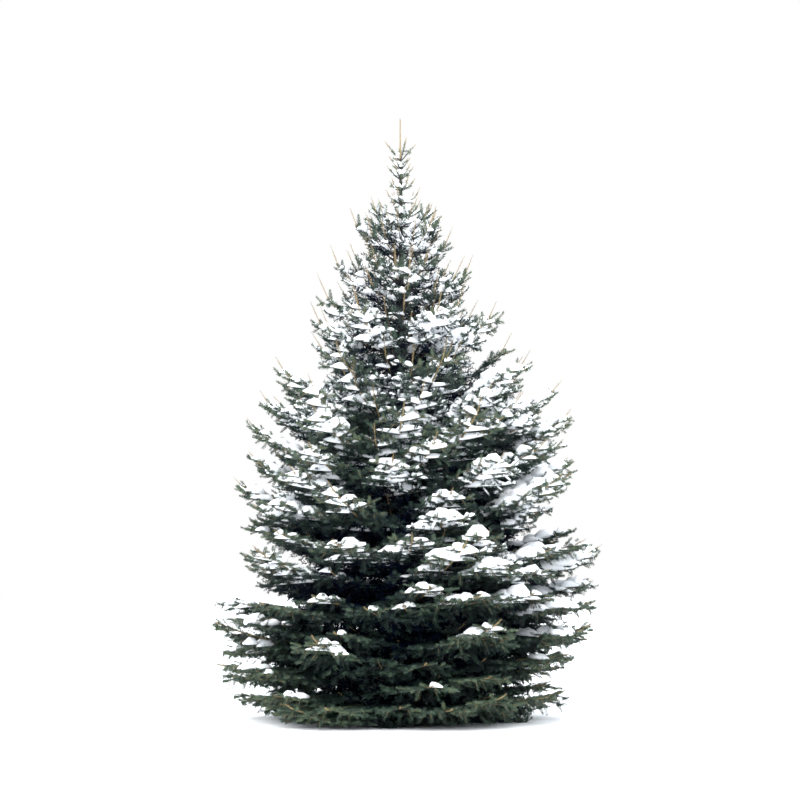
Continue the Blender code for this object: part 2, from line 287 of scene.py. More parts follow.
class Twigs:
    """Many twigs at once. Each runs at root + heading s + bend (s / length)^2."""

    FIELDS = ("root", "heading", "over", "bend", "length", "radius", "bough", "spray")

    def __init__(self, *values):
        for name, value in zip(self.FIELDS, values):
            setattr(self, name, value)

    def at(self, which, s):
        """The place on each numbered twig at s from its root."""
        share = s / self.length[which]
        return self.root[which] + self.heading[which] * s[:, None] + self.bend[which] * (share**2)[:, None]

    def frame(self, which, s):
        """Along is the curve's own slope, across lies in the twig's fan, and over is square to both."""
        share = 2 * s / self.length[which] ** 2
        along = unit(self.heading[which] + self.bend[which] * share[:, None])
        across = unit(np.cross(self.over[which], along))
        return along, across, np.cross(along, across)

    def part(self, share):
        """The place on every twig at this share of its length."""
        return self.at(np.arange(len(self.length)), share * self.length)

    def kept(self, mask):
        """Only the twigs that the mask chooses."""
        return Twigs(*[getattr(self, name)[mask] for name in self.FIELDS])


def joined(groups):
    """One set of twigs from several."""
    return Twigs(*[np.concatenate([getattr(group, name) for group in groups]) for name in Twigs.FIELDS])


def depth(points):
    """0 on the trunk's axis and 1 on the crown's outline, and towards 1 all through the thin top."""
    azimuth = np.arctan2(points[:, 1], points[:, 0])
    inside = np.hypot(points[:, 0], points[:, 1]) / crown_radius(points[:, 2], azimuth)
    return np.maximum(inside, 0.95 * ramp(points[:, 2], *THIN_TOP_HEIGHTS))


# ---------------------------------------------------------------- growth
def grow_boughs():
    """The source's boughs, further ones between them, short ones round the stem, and small whorls on top."""
    rows = []
    for tier, (mean, count, first) in enumerate(TIERS):
        extras = FOOT_EXTRAS if tier == 0 else WIDE_EXTRAS if count <= WIDE_SECTOR_COUNT else NARROW_EXTRAS
        for index in range(count):
            middle = math.radians(first) + 2 * math.pi * index / count
            azimuth = middle + AZIMUTH_SCATTER * (scatter(tier, index, 1) - 0.5)
            height = mean + HEIGHT_SCATTER * (scatter(tier, index, 2) - 0.5)
            swing = BOUGH_SWING * (scatter(tier, index, 3) - 0.5)
            rows.append((tier, height, azimuth, swing, 1.0, 0.0, MAIN_BARE_SHARE))
            shift = EXTRA_SHIFT * (scatter(tier, index, 4) - 0.5)
            for item, (above, turn, share) in enumerate(extras):
                azimuth = middle + turn * math.pi / count
                azimuth += EXTRA_AZIMUTH_SCATTER * (scatter(tier, index, 11 + item) - 0.5)
                height = mean + EXTRA_SPACING * above + shift
                height += EXTRA_HEIGHT_SCATTER * (scatter(tier, index, 21 + item) - 0.5)
                share += EXTRA_SHARE_SCATTER * (scatter(tier, index, 31 + item) - 0.5)
                rows.append((tier, height, azimuth, -swing, share, 0.0, EXTRA_BARE_SHARE))
    for whorl, height in enumerate(INNER_HEIGHTS):
        tier = max(int(np.searchsorted([row[0] for row in TIERS], height)) - 1, 0)
        share = INNER_SHARE_LOW if height < INNER_SHARE_HEIGHT else INNER_SHARE
        reach = share * float(crown_radius(height, 0.0))
        count = (INNER_COUNT_LOW, INNER_COUNT, INNER_COUNT_HIGH)[np.searchsorted(INNER_COUNT_HEIGHTS, height)]
        for index in range(count):
            azimuth = 2 * math.pi * (index + 0.31 * whorl) / count + 0.5 * scatter(40 + whorl, index, 1)
            length = reach * (0.75 + 0.5 * scatter(40 + whorl, index, 2))
            rows.append((tier, height, azimuth, 0.0, 1.0, length, INNER_BARE_SHARE))
    for whorl, (height, count, length) in enumerate(TUFT_WHORLS):
        for index in range(count):
            azimuth = 2 * math.pi * (index + 0.37 * whorl) / count + 0.5 * scatter(20 + whorl, index, 1)
            reach = length * (0.8 + 0.35 * scatter(20 + whorl, index, 2))
            rows.append((len(TIERS), height, azimuth, 0.0, 1.0, reach, TUFT_BARE_SHARE))
    return Boughs(*np.array(rows).T)


def spaced(length, start, stop, pitch):
    """Which limb each new twig grows from, how far along, and its number on that limb.

    Each limb gets as many as there are pitches between the shares start and stop of its length, evenly
    set with a little scatter.
    """
    count = np.maximum(0, np.round((stop - start) * length / pitch)).astype(int)
    which = np.repeat(np.arange(len(length)), count)
    number = np.arange(len(which)) - np.repeat(np.cumsum(count) - count, count)
    share = (number + 0.5 + rng.uniform(-0.35, 0.35, len(which))) / count[which]
    start = np.broadcast_to(start, length.shape)[which]
    return which, (start + (stop - start) * share) * length[which], number


def branch(parent, which, distance, side, opening, tilt, length, kept, lift, radius, bough, spray):
    """Twigs that leave their parent at an opening angle, to one side, tilted about the parent's line.

    heading = cos(opening) along + sin(opening) (side cos(tilt) across + sin(tilt) over), of whose rise
    only the kept share stays. The tip is lifted by its share of the length, droops low in the crown, and
    clears the ground.
    """
    along, across, over = parent.frame(which, distance)
    outwards = (side * np.cos(tilt))[:, None] * across + np.sin(tilt)[:, None] * over
    heading = np.cos(opening)[:, None] * along + np.sin(opening)[:, None] * outwards
    heading[:, 2] *= kept
    heading = unit(heading)
    root = parent.at(which, distance)
    length = kept_in_crown(root, heading, length)
    lift = lift - DROOP * (1 - ramp(root[:, 2], *DROOP_HEIGHTS))
    least_rise = np.clip((LOWEST_TWIG - root[:, 2]) / length - np.minimum(lift, 0), -0.95, 0.95)
    rise = np.maximum(heading[:, 2], least_rise)
    heading[:, :2] *= np.sqrt((1 - rise**2) / np.maximum(1 - heading[:, 2] ** 2, 1e-6))[:, None]
    heading[:, 2] = rise
    bend = np.zeros_like(heading)
    bend[:, 2] = lift * length
    over = unit(over - dot(over, heading)[:, None] * heading)
    return Twigs(root, heading, over, bend, length, radius, bough, spray)


def kept_in_crown(root, heading, length):
    """Shortens a twig whose tip would pass the crown's outline, down to a fifth of its length."""
    tip = root + heading * length[:, None]
    near, far = np.hypot(root[:, 0], root[:, 1]), np.hypot(tip[:, 0], tip[:, 1])
    azimuth = np.arctan2(tip[:, 1], tip[:, 0])
    limit = crown_radius(tip[:, 2], azimuth) * (1 - SIDE_ROOM * np.sin(azimuth) ** 2) + TWIG_OVERREACH
    share = np.where(far > limit, (limit - near) / np.maximum(far - near, 1e-6), 1.0)
    return length * np.clip(share, 0.2, 1.0)


def grow_laterals(boughs, stop, pitch, size, tilt, spread, kept, first_spray):
    """Side twigs of the boughs, turn about: longest near the trunk, shortening to the tip, fewer high up.

    Their length goes with (1 - share)^0.6 along the bough. A tilt of nothing lays them level to both
    sides, and a quarter turn down hangs them below the bough.
    """
    high = ramp(boughs.foot, *LATERAL_OPEN_HEIGHTS)
    which, distance, number = spaced(boughs.length, boughs.bare, stop, pitch * (1 + 1.1 * high))
    count = len(which)
    share = distance / boughs.length[which]
    least = 0.015 + 0.055 * ramp(boughs.length, 0.10, 0.60)[which]
    length = least + 0.38 * boughs.length[which] * (1 - share) ** 0.6
    length = np.minimum(length * size * rng.uniform(0.76, 1.12, count), 0.09 + 0.95 * distance)
    opening = np.radians(LATERAL_OPENING[0] + (LATERAL_OPENING[1] - LATERAL_OPENING[0]) * share)
    opening = opening + rng.normal(0, 0.05, count)
    side = np.where(number % 2 == 0, 1.0, -1.0)
    tilt = rng.normal(tilt, spread, count)
    lift = rng.uniform(0.00, 0.14, count)
    radius = 0.0020 + 0.0060 * length
    spray = first_spray + np.arange(count)
    return branch(boughs, which, distance, side, opening, tilt, length, kept, lift, radius, which, spray)


def grow_subs(parents, pitch, reach_share, least, opening, tilt, spread, kept):
    """Side twigs of twigs, turn about: in the parent's own fan, or hung below it by their tilt.

    They are as long as the least plus a share of what is left of the parent, and stand further apart deep
    in the crown and high up.
    """
    outer = ramp(depth(parents.part(0.6)), 0.35, 0.65)
    high = ramp(parents.root[:, 2], *SUB_OPEN_HEIGHTS)
    which, distance, number = spaced(parents.length, 0.12, 0.94, pitch * (2.0 - outer + 0.7 * high))
    count = len(which)
    left = parents.length[which] - distance
    length = (least + reach_share * left) * rng.uniform(0.80, 1.12, count)
    side = np.where((number + which) % 2 == 0, 1.0, -1.0)
    opening = math.radians(opening) + rng.normal(0, 0.07, count)
    tilt = rng.normal(tilt, spread, count)
    lift = rng.uniform(0.0, 0.14, count)
    bough, spray = parents.bough[which], parents.spray[which]
    radius = np.full(count, 0.0034)
    return branch(parents, which, distance, side, opening, tilt, length, kept, lift, radius, bough, spray)


def grow_stars(parents, count, length, opening):
    """The year's side shoots: short ones close behind the tip of each twig, most of them to its sides."""
    parents = parents.kept(parents.length > 1.2 * length)
    which = np.repeat(np.arange(len(parents.length)), count)
    number = np.arange(len(which)) % count
    distance = (0.92 - 0.05 * number) * parents.length[which]
    side = np.where(number % 2 == 0, 1.0, -1.0)
    tilt = rng.normal(0.25, 0.30, len(which))
    length = length * rng.uniform(0.7, 1.2, len(which))
    opening = math.radians(opening) + rng.normal(0, 0.08, len(which))
    bough, spray = parents.bough[which], parents.spray[which]
    radius = np.full(len(which), 0.0032)
    return branch(parents, which, distance, side, opening, tilt, length, 0.8, 0.10, radius, bough, spray)


def grow_tips(boughs, first_spray):
    """The outer seven tenths of each bough as a twig of its own, which carries needles and snow."""
    which = np.arange(len(boughs.length))
    start = 0.30 * boughs.length
    heading, _, over = boughs.frame(which, start)
    root = boughs.at(which, start)
    ends = boughs.at(which, boughs.length) - root
    length = np.linalg.norm(ends, axis=1)
    bend = ends - heading * length[:, None]
    return Twigs(root, heading, over, bend, length, 0.65 * boughs.radius, which, first_spray + which)


def grow_leaders(boughs, first_spray):
    """Last year's leading shoots, which go on past the bough tips and turn up to the light.

    They are longer and steeper the higher they stand, but in the topmost whorls they run straight on.
    """
    which = np.arange(len(boughs.length))
    along, _, over = boughs.frame(which, boughs.length)
    high = ramp(boughs.foot, 0.6, 3.0)
    heading = along.copy()
    upwards = 0.20 + 0.9 * high * rng.uniform(0.4, 1.0, len(which))
    heading[:, 2] += upwards * (1 - ramp(boughs.foot, 3.8, 4.1))
    heading = unit(heading)
    length = (0.055 + 0.135 * high) * rng.uniform(0.7, 1.15, len(which))
    length = np.minimum(length, 0.5 * boughs.length)
    root = boughs.at(which, boughs.length * 0.99)
    over = unit(over - dot(over, heading)[:, None] * heading)
    radius = np.full(len(which), 0.0040)
    return Twigs(root, heading, over, np.zeros_like(root), length, radius, which, first_spray + which)


# ---------------------------------------------------------------- meshes from arrays
def make_piece(name, points, quads, triangles, material, smooth=False):
    """A mesh object from rows of point numbers, quads and then triangles, kept above the ground."""
    quads = np.asarray(quads, dtype=np.int32).reshape(-1, 4)
    triangles = np.asarray(triangles, dtype=np.int32).reshape(-1, 3)
    corners = np.concatenate([quads.ravel(), triangles.ravel()])
    starts = np.concatenate([np.arange(len(quads)) * 4, len(quads) * 4 + np.arange(len(triangles)) * 3])
    points = np.array(points, dtype=np.float32)
    points[:, 2] = np.maximum(points[:, 2], 0.0)
    mesh = bpy.data.meshes.new(name)
    mesh.vertices.add(len(points))
    mesh.vertices.foreach_set("co", points.ravel())
    mesh.loops.add(len(corners))
    mesh.loops.foreach_set("vertex_index", corners)
    mesh.polygons.add(len(starts))
    mesh.polygons.foreach_set("loop_start", starts.astype(np.int32))
    mesh.polygons.foreach_set("use_smooth", np.full(len(starts), smooth))
    mesh.update(calc_edges=True)
    mesh.materials.append(material)
    piece = bpy.data.objects.new(name, mesh)
    bpy.context.scene.collection.objects.link(piece)
    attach(piece, "root")
    return piece


def closed_tubes(rings, foot, tip):
    """Faces and points of many tubes at once: rings[tube, ring, side], closed by a tip point each.

    The foot is closed by a point too, or, where foot is None, by one triangle across three sides.
    """
    tubes, steps, sides, _ = rings.shape
    ends = [tip[:, None]] if foot is None else [tip[:, None], foot[:, None]]
    stride = steps * sides + len(ends)
    base = (np.arange(tubes) * stride)[:, None, None]
    step = (np.arange(steps - 1) * sides)[None, :, None]
    side = np.arange(sides)[None, None, :]
    following = (side + 1) % sides
    corners = (base + step + side, base + step + following)
    corners += (base + step + sides + following, base + step + sides + side)
    quads = np.stack(np.broadcast_arrays(*corners), axis=-1).reshape(-1, 4)
    base, side, following = base[:, 0], side[0], following[0]
    last_ring = base + (steps - 1) * sides
    last = np.broadcast_to(base + steps * sides, (tubes, sides))
    triangles = [np.stack([last, last_ring + side, last_ring + following], axis=-1).reshape(-1, 3)]
    if foot is None:
        triangles.append(base + np.array([0, 2, 1]))
    else:
        triangles.append(np.stack([last + 1, base + following, base + side], axis=-1).reshape(-1, 3))
    points = np.concatenate([rings.reshape(tubes, -1, 3), *ends], axis=1)
    return points.reshape(-1, 3), quads, np.concatenate(triangles)


def tube_rings(limbs, which, starts, stops, steps, sides, radius_at):
    """Rings round many limbs: centre + radius (cos v across + sin v over), at even steps along each."""
    share = np.linspace(0.0, 1.0, steps)
    along = starts[:, None] + (stops - starts)[:, None] * share
    flat_which, flat_along = np.repeat(which, steps), along.ravel()
    centre = limbs.at(flat_which, flat_along)
    _, across, over = limbs.frame(flat_which, flat_along)
    turn = 2 * np.pi * (np.arange(sides) + 0.25) / sides
    radius = radius_at(np.broadcast_to(share, along.shape)).reshape(-1, 1, 1)
    ring = np.cos(turn)[:, None] * across[:, None] + np.sin(turn)[:, None] * over[:, None]
    return (centre[:, None] + radius * ring).reshape(len(which), steps, sides, 3)


# ---------------------------------------------------------------- needles
def needle_triangles(twigs, per_metre, length, width, bare):
    """One triangle for each needle, widest below its middle, set round its twig in a spiral.

    direction = cos(lean) along + sin(lean) (cos(turn) across + sin(turn) over). The lean falls with the
    cube of the share along the twig. The turns crowd to both sides and leave the underside of the twig
    bare. Deep in the crown the needles are fewer and larger, by (2.2 - 1.2 outer)^0.75.
    """
    outer = ramp(depth(twigs.part(0.6)), 0.40, 0.80)
    clad = 1 - bare / (2 * np.pi)
    count = np.maximum(3, np.round(twigs.length * per_metre * clad * (0.22 + 0.78 * outer))).astype(int)
    which = np.repeat(np.arange(len(count)), count)
    number = np.arange(len(which)) - np.repeat(np.cumsum(count) - count, count)
    share = (number + rng.uniform(0.1, 0.9, len(which))) / count[which]
    s = share * twigs.length[which]
    along, across, over = twigs.frame(which, s)
    turn = np.mod(number * GOLDEN_TURN + (which % 17) * 0.9, 2 * np.pi)
    turn = (bare / 2)[which] - np.pi / 2 + clad[which] * turn
    turn = turn - 0.15 * np.sin(2 * turn)
    radial = np.cos(turn)[:, None] * across + np.sin(turn)[:, None] * over
    around = np.cross(along, radial)
    lean = np.radians(NEEDLE_LEAN - NEEDLE_LEAN_LOST * share**3) + rng.normal(0, 0.10, len(which))
    direction = np.cos(lean)[:, None] * along + np.sin(lean)[:, None] * radial
    direction[:, 2] += 0.10
    size = (2.2 - 1.2 * outer[which]) ** 0.75
    long = length * (0.85 + 0.15 * np.sin(np.pi * share)) * rng.uniform(0.84, 1.12, len(which)) * size
    foot = twigs.at(which, s) + (0.6 * twigs.radius[which] * (1 - 0.5 * share))[:, None] * radial
    side = np.where(number % 2 == 0, 1.0, -1.0)[:, None]
    direction = unit(direction) * long[:, None]
    edge = unit(0.5 * along + side * around) * (width * size)[:, None]
    return np.stack([foot, foot + 0.42 * direction + edge, foot + direction], axis=1), which


# ---------------------------------------------------------------- snow
class Shelter:
    """How much foliage lies above a place: lengths of twig, added up down the columns of a coarse grid."""

    CELL = 0.06
    CORNER = np.array([-1.8, -1.8, 0.0])
    SHAPE = (60, 60, 80)
    SHADE = 0.80  # metres of twig above a cell that keep most of the snow off it

    def __init__(self, twigs):
        grid = np.zeros(self.SHAPE)
        for share in (0.25, 0.75):
            np.add.at(grid, self.cells(twigs.part(share)), twigs.length / 2)
        self.above = np.cumsum(grid[:, :, ::-1], axis=2)[:, :, ::-1] - grid

    def cells(self, points):
        """The grid cell that each point lies in."""
        cells = ((points - self.CORNER) / self.CELL).astype(int)
        return tuple(np.clip(cells, 0, np.array(self.SHAPE) - 1).T)

    def open_sky(self, places):
        """1 under the open sky, falling as exp(-twig length above / SHADE)."""
        return np.exp(-self.above[self.cells(places)] / self.SHADE)


def lumps(points, size, seed):
    """Soft lumps from -1 to 1: the mean of three sine waves in turned directions, each bent by the last."""
    p = points / size
    a = np.sin(p[..., 0] * 5.1 + 1.7 * np.sin(p[..., 1] * 3.3 + seed) + seed)
    b = np.sin(p[..., 1] * 4.7 + 1.5 * np.sin(p[..., 2] * 3.9 + a) + 2.1 * seed)
    c = np.sin(p[..., 2] * 5.6 + 1.3 * np.sin(p[..., 0] * 4.1 + b) + 3.7 * seed)
    return (a + b + c) / 3


def snowiness(points):
    """Less snow low down and at -X, more at the middle heights, at the top and at +X, in patches.

    The patches are wide lumps with smaller ones on them, and fade towards the top.
    """
    height = points[:, 2]
    low = ramp(height, 0.3, 1.2)
    right = 0.5 + 0.5 * np.tanh((points[:, 0] + 0.3) / 0.7)
    patch = 0.50 * lumps(points, 1.6, 4.0) + 1.15 * lumps(points, 0.55, 6.0)
    patch = patch * (1 - 0.7 * ramp(height, 2.6, 3.8))
    more = 1 + 0.90 * ramp(height, 2.9, 3.8)
    more = more + 0.14 * ramp(height, 1.0, 1.5) * (1 - ramp(height, 2.4, 3.0))
    return (0.42 + 0.58 * low) * (0.62 + 0.66 * right) * more * np.clip(1 + patch, 0.1, 2.0)


def snow_ridges(twigs, amount):
    """A ridge of snow along the top of each twig: a dome on a nearly flat underside.

    Each ring is cos(turn) wide across and sin(turn) high upwards, of which the lower half keeps a quarter.
    """
    sides, steps = 4, 3
    count = len(twigs.length)
    share = np.linspace(0.12, 0.88, steps)
    which = np.repeat(np.arange(count), steps)
    s = (twigs.length[:, None] * share).ravel()
    centre = twigs.at(which, s)
    along, _, _ = twigs.frame(which, s)
    across = unit(np.cross(np.array([0.0, 0.0, 1.0]), along))
    turn = 2 * np.pi * (np.arange(sides) + 0.25) / sides
    swell = np.tile(0.60 + 0.40 * np.sin(np.pi * share), count) * (1 + 0.35 * lumps(centre, 0.05, 3.0))
    wide = (0.006 + 0.010 * amount)[which] * swell
    high = (0.007 + 0.013 * amount)[which] * swell
    up = np.where(np.sin(turn) > 0, np.sin(turn), 0.25 * np.sin(turn))
    ring = wide[:, None, None] * np.cos(turn)[None, :, None] * across[:, None]
    ring[..., 2] += high[:, None] * up
    lift = np.array([0.0, 0.0, 0.006])
    rings = (centre[:, None] + ring + lift).reshape(count, steps, sides, 3)
    return closed_tubes(rings, twigs.part(0.02) + lift, twigs.part(0.99) + lift)


class Blankets:
    """Snow along some twigs, each from start to stop of its length, on the trunk's side of its twig."""

    def __init__(self, twigs, amount, start, stop, widths):
        self.twigs, self.amount, self.start, self.stop, self.widths = twigs, amount, start, stop, widths

    def wide(self, which, s):
        """The half width: least + slope times what is left of the twig, up to most, times the amount."""
        least, slope, most = self.widths
        left = np.maximum(self.twigs.length[which] - s, 0)
        most = np.minimum(most, 0.022 + 0.36 * self.twigs.length[which])
        return np.minimum(least + slope * left, most) * (0.50 + 0.65 * self.amount[which])

    def middle(self, which, s, wide):
        """The twig's own line, moved towards the trunk by under half the width, and the level across it."""
        place = self.twigs.at(which, s)
        along, _, _ = self.twigs.frame(which, s)
        inwards = unit(-place * np.array([1.0, 1.0, 0.0]))
        return place + inwards * (0.45 * wide)[:, None], unit(np.cross(np.array([0.0, 0.0, 1.0]), along))

    def cover(self, which, points):
        """Whether each point lies within the snow on twig number which, and not below it."""
        s = dot(points - self.twigs.root[which], self.twigs.heading[which])
        share = s / self.twigs.length[which]
        wide = self.wide(which, s)
        middle, across = self.middle(which, s, wide)
        beside = np.abs(dot(points - middle, across)) < 0.90 * wide
        above = points[:, 2] > middle[:, 2] + 0.002
        return beside & above & (share > self.start[which]) & (share < self.stop[which] - 0.04)

    def shape(self, steps, thick, uneven):
        """A lumpy blanket over each twig: domed above, nearly flat below.

        Each ring is cos(turn) wide across and sin(turn) high upwards, of which the lower half keeps a
        tenth. The rings open as share^0.3 at the root and close as (1 - share)^0.5 at the tip. Soft lumps
        along the twig swell them by the unevenness, and smaller ones by place swell their edge and dome.
        """
        sides = 8
        count = len(self.amount)
        share = 0.5 - 0.5 * np.cos(np.pi * (np.arange(steps) + 0.6) / (steps + 0.2))
        which = np.repeat(np.arange(count), steps)
        reach = self.start[:, None] + (self.stop - self.start)[:, None] * share
        s = (self.twigs.length[:, None] * reach).ravel()
        turn = 2 * np.pi * (np.arange(sides) + 0.5) / sides
        ends = np.tile(1.25 * share**0.3 * (1 - share) ** 0.5, count)
        swell = np.maximum(1 + uneven * lumps(self.twigs.at(which, s), 0.13, 2.0), 0.15)
        wide = self.wide(which, s) * swell
        plump = 0.92 + 0.10 * ramp(self.twigs.root[which, 2], 2.6, 3.4)
        high = np.minimum(thick * (0.35 + 0.90 * self.amount[which]), plump * wide)
        high = high * ends * np.tile(1.12 - 0.40 * share, count)
        wide = wide * ends
        middle, across = self.middle(which, s, wide)
        ring = wide[:, None, None] * np.cos(turn)[None, :, None] * across[:, None]
        edge = middle[:, None] + ring
        ring *= (1 + 0.24 * lumps(edge, 0.075, 1.0))[..., None]
        dome = 1 + 0.18 * lumps(edge, 0.10, 9.0)
        up = np.where(np.sin(turn) > 0, np.sin(turn), 0.10 * np.sin(turn))
        ring[..., 2] += high[:, None] * up * dome
        lift = np.array([0.0, 0.0, 0.004])
        rings = (middle[:, None] + ring + lift).reshape(count, steps, sides, 3)
        numbers = np.arange(count)
        foot = self.twigs.at(numbers, self.start * self.twigs.length)
        tip = self.twigs.at(numbers, self.stop * self.twigs.length)
        return closed_tubes(rings, foot + lift, tip + lift)

    def kept(self, mask):
        """Only the blankets that the mask chooses."""
        ends = self.start[mask], self.stop[mask]
        return Blankets(self.twigs.kept(mask), self.amount[mask], *ends, self.widths)


# ---------------------------------------------------------------- materials
def new_group(name, inputs, outputs):
    """An empty shader node group with these named sockets."""
    group = bpy.data.node_groups.new(name, "ShaderNodeTree")
    for socket, kind, value in inputs:
        made = group.interface.new_socket(socket, in_out="INPUT", socket_type=kind)
        made.default_value = value
    for socket, kind in outputs:
        group.interface.new_socket(socket, in_out="OUTPUT", socket_type=kind)
    return group, group.nodes.new("NodeGroupInput"), group.nodes.new("NodeGroupOutput")


def mottle_group():
    """Blends two colours by two sizes of noise, and gives the finer one out as a height."""
    group, given, out = new_group(
        "mottle",
        (
            ("Light", "NodeSocketColor", (1, 1, 1, 1)),
            ("Dark", "NodeSocketColor", (0, 0, 0, 1)),
            ("Scale", "NodeSocketFloat", 20.0),
            ("Fine Scale", "NodeSocketFloat", 200.0),
        ),
        (("Color", "NodeSocketColor"), ("Height", "NodeSocketFloat")),
    )
    place = group.nodes.new("ShaderNodeTexCoord")
    coarse = group.nodes.new("ShaderNodeTexNoise")
    fine = group.nodes.new("ShaderNodeTexNoise")
    total = group.nodes.new("ShaderNodeMath")
    total.operation = "MULTIPLY_ADD"
    total.inputs[1].default_value = 0.45
    mix = group.nodes.new("ShaderNodeMix")
    mix.data_type = "RGBA"
    link = group.links.new
    link(place.outputs["Object"], coarse.inputs["Vector"])
    link(place.outputs["Object"], fine.inputs["Vector"])
    link(given.outputs["Scale"], coarse.inputs["Scale"])
    link(given.outputs["Fine Scale"], fine.inputs["Scale"])
    link(fine.outputs["Fac"], total.inputs[0])
    link(coarse.outputs["Fac"], total.inputs[2])
    spread = group.nodes.new("ShaderNodeMapRange")
    spread.inputs["From Min"].default_value = 0.45
    spread.inputs["From Max"].default_value = 1.0
    link(total.outputs["Value"], spread.inputs["Value"])
    link(spread.outputs["Result"], mix.inputs["Factor"])
    link(given.outputs["Dark"], mix.inputs["A"])
    link(given.outputs["Light"], mix.inputs["B"])
    link(mix.outputs["Result"], out.inputs["Color"])
    link(fine.outputs["Fac"], out.inputs["Height"])
    return group


MOTTLE = mottle_group()


def mottled(name, light, dark, scale, fine_scale, roughness, relief=0.0, sheen=0.5):
    """A material of two blended colours, and, where relief is given, bumps from the same noise."""
    material = bpy.data.materials.new(name)
    material.use_nodes = True
    nodes, link = material.node_tree.nodes, material.node_tree.links.new
    shader = nodes["Principled BSDF"]
    pattern = nodes.new("ShaderNodeGroup")
    pattern.node_tree = MOTTLE
    pattern.inputs["Light"].default_value = (*light, 1)
    pattern.inputs["Dark"].default_value = (*dark, 1)
    pattern.inputs["Scale"].default_value = scale
    pattern.inputs["Fine Scale"].default_value = fine_scale
    link(pattern.outputs["Color"], shader.inputs["Base Color"])
    shader.inputs["Roughness"].default_value = roughness
    shader.inputs["Specular IOR Level"].default_value = sheen
    if relief:
        bump = nodes.new("ShaderNodeBump")
        bump.inputs["Strength"].default_value = 0.6
        bump.inputs["Distance"].default_value = relief
        link(pattern.outputs["Height"], bump.inputs["Height"])
        link(bump.outputs["Normal"], shader.inputs["Normal"])
    return material


def needle_tint(shade, light, dark, roughness, sheen=0.5):
    """A green for needles, in broad and fine mottles."""
    return mottled(f"needles_{shade}", light, dark, 9.0, 90.0, roughness, sheen=sheen)


# From the heart of the crown to the year's own shoots. The innermost tint, near black, is painted shade. The
# next is the dark green of old needles, deepened by painted shade. The lighter two are the greens of grown
# and young needles.
NEEDLE_TINTS = {
    # near black: painted shade deep in the crown
    "inner": needle_tint("inner", (0.003, 0.008, 0.021), (0.001, 0.003, 0.011), 0.60, 0.05),
    # dark green of old needles, darkened further as painted shade
    "old_and_shaded": needle_tint("old_and_shaded", (0.017, 0.037, 0.025), (0.005, 0.012, 0.015), 0.55, 0.3),
    "grown": needle_tint("grown", (0.038, 0.072, 0.041), (0.016, 0.034, 0.024), 0.52),
    "young": needle_tint("young", (0.075, 0.110, 0.059), (0.040, 0.066, 0.038), 0.50),
}
BARK = mottled("bark", (0.040, 0.034, 0.029), (0.014, 0.012, 0.011), 24.0, 160.0, 0.85, 0.004)
TWIG_BARK = mottled("twig_bark", (0.046, 0.040, 0.031), (0.021, 0.020, 0.017), 30.0, 220.0, 0.75)
YOUNG_BARK = mottled("young_bark", (0.310, 0.224, 0.104), (0.193, 0.132, 0.058), 40.0, 260.0, 0.65)
SNOW = mottled("snow", (0.955, 0.965, 0.980), (0.900, 0.920, 0.950), 14.0, 180.0, 0.70, 0.0015)


# ---------------------------------------------------------------- the tree's pieces
TIER_GROUPS = {"low": (0, 1), "skirt": (2,), "middle": (3,), "upper": (4, 5), "high": (6, 7, 8, 9)}


def foliage_nodes(tiers):
    """The names of the foliage solids of these tiers."""
    names = [f"tier{t + 1}_foliage_{i + 1}" for t in tiers if t < len(TIERS) for i in range(TIERS[t][1])]
    return names + (["top_foliage"] if len(TIERS) in tiers else [])


def stem_rings(low, high, rows, sides, relief):
    """Rings of the stem between two heights, with plates of bark up to relief deep.

    The plates are the humps of a lumpy field, longer up the stem than round it, with clefts where the
    field passes zero, and a finer field of the same kind roughens them.
    """
    height = np.linspace(low, high, rows)[:, None]
    azimuth = (2 * np.pi * np.arange(sides) / sides)[None, :]
    radius = trunk_radius(height, azimuth)
    points = np.stack(np.broadcast_arrays(np.cos(azimuth) * radius, np.sin(azimuth) * radius, height), -1)
    plates = np.abs(lumps(points * np.array([1, 1, 0.55]), 0.030, 2.0))
    plates = plates + 0.5 * np.abs(lumps(points, 0.011, 8.0))
    depth_here = relief * np.clip(radius / TRUNK_RADIUS, 0.05, 1.0)
    radius = radius + depth_here * (np.minimum(plates, 0.6) / 0.6 - 0.8)
    ring = np.stack([np.cos(azimuth) * radius, np.sin(azimuth) * radius, np.zeros_like(radius)], axis=-1)
    return (trunk_axis(height) + ring)[None]


def trunk_piece():
    """The trunk from its flat foot to the last whorl, and the leading shoot above it in young bark."""
    rings = stem_rings(0.0, LEADER_FOOT, 320, 48, 0.0035)
    foot, top = np.zeros((1, 3)), trunk_axis(np.array([LEADER_FOOT + 0.002]))
    piece = make_piece("trunk_bark", *closed_tubes(rings, foot, top), BARK, smooth=True)
    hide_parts("trunk")
    rings = stem_rings(LEADER_FOOT - 0.01, TREE_HEIGHT - 0.004, 40, 12, 0.010)
    core = rings.mean(axis=2, keepdims=True)
    rings = core + LEADER_SLIMNESS * (rings - core)
    foot, top = trunk_axis(np.array([LEADER_FOOT - 0.012])), trunk_axis(np.array([TREE_HEIGHT]))
    piece = make_piece("leading_shoot", *closed_tubes(rings, foot, top), YOUNG_BARK, smooth=True)


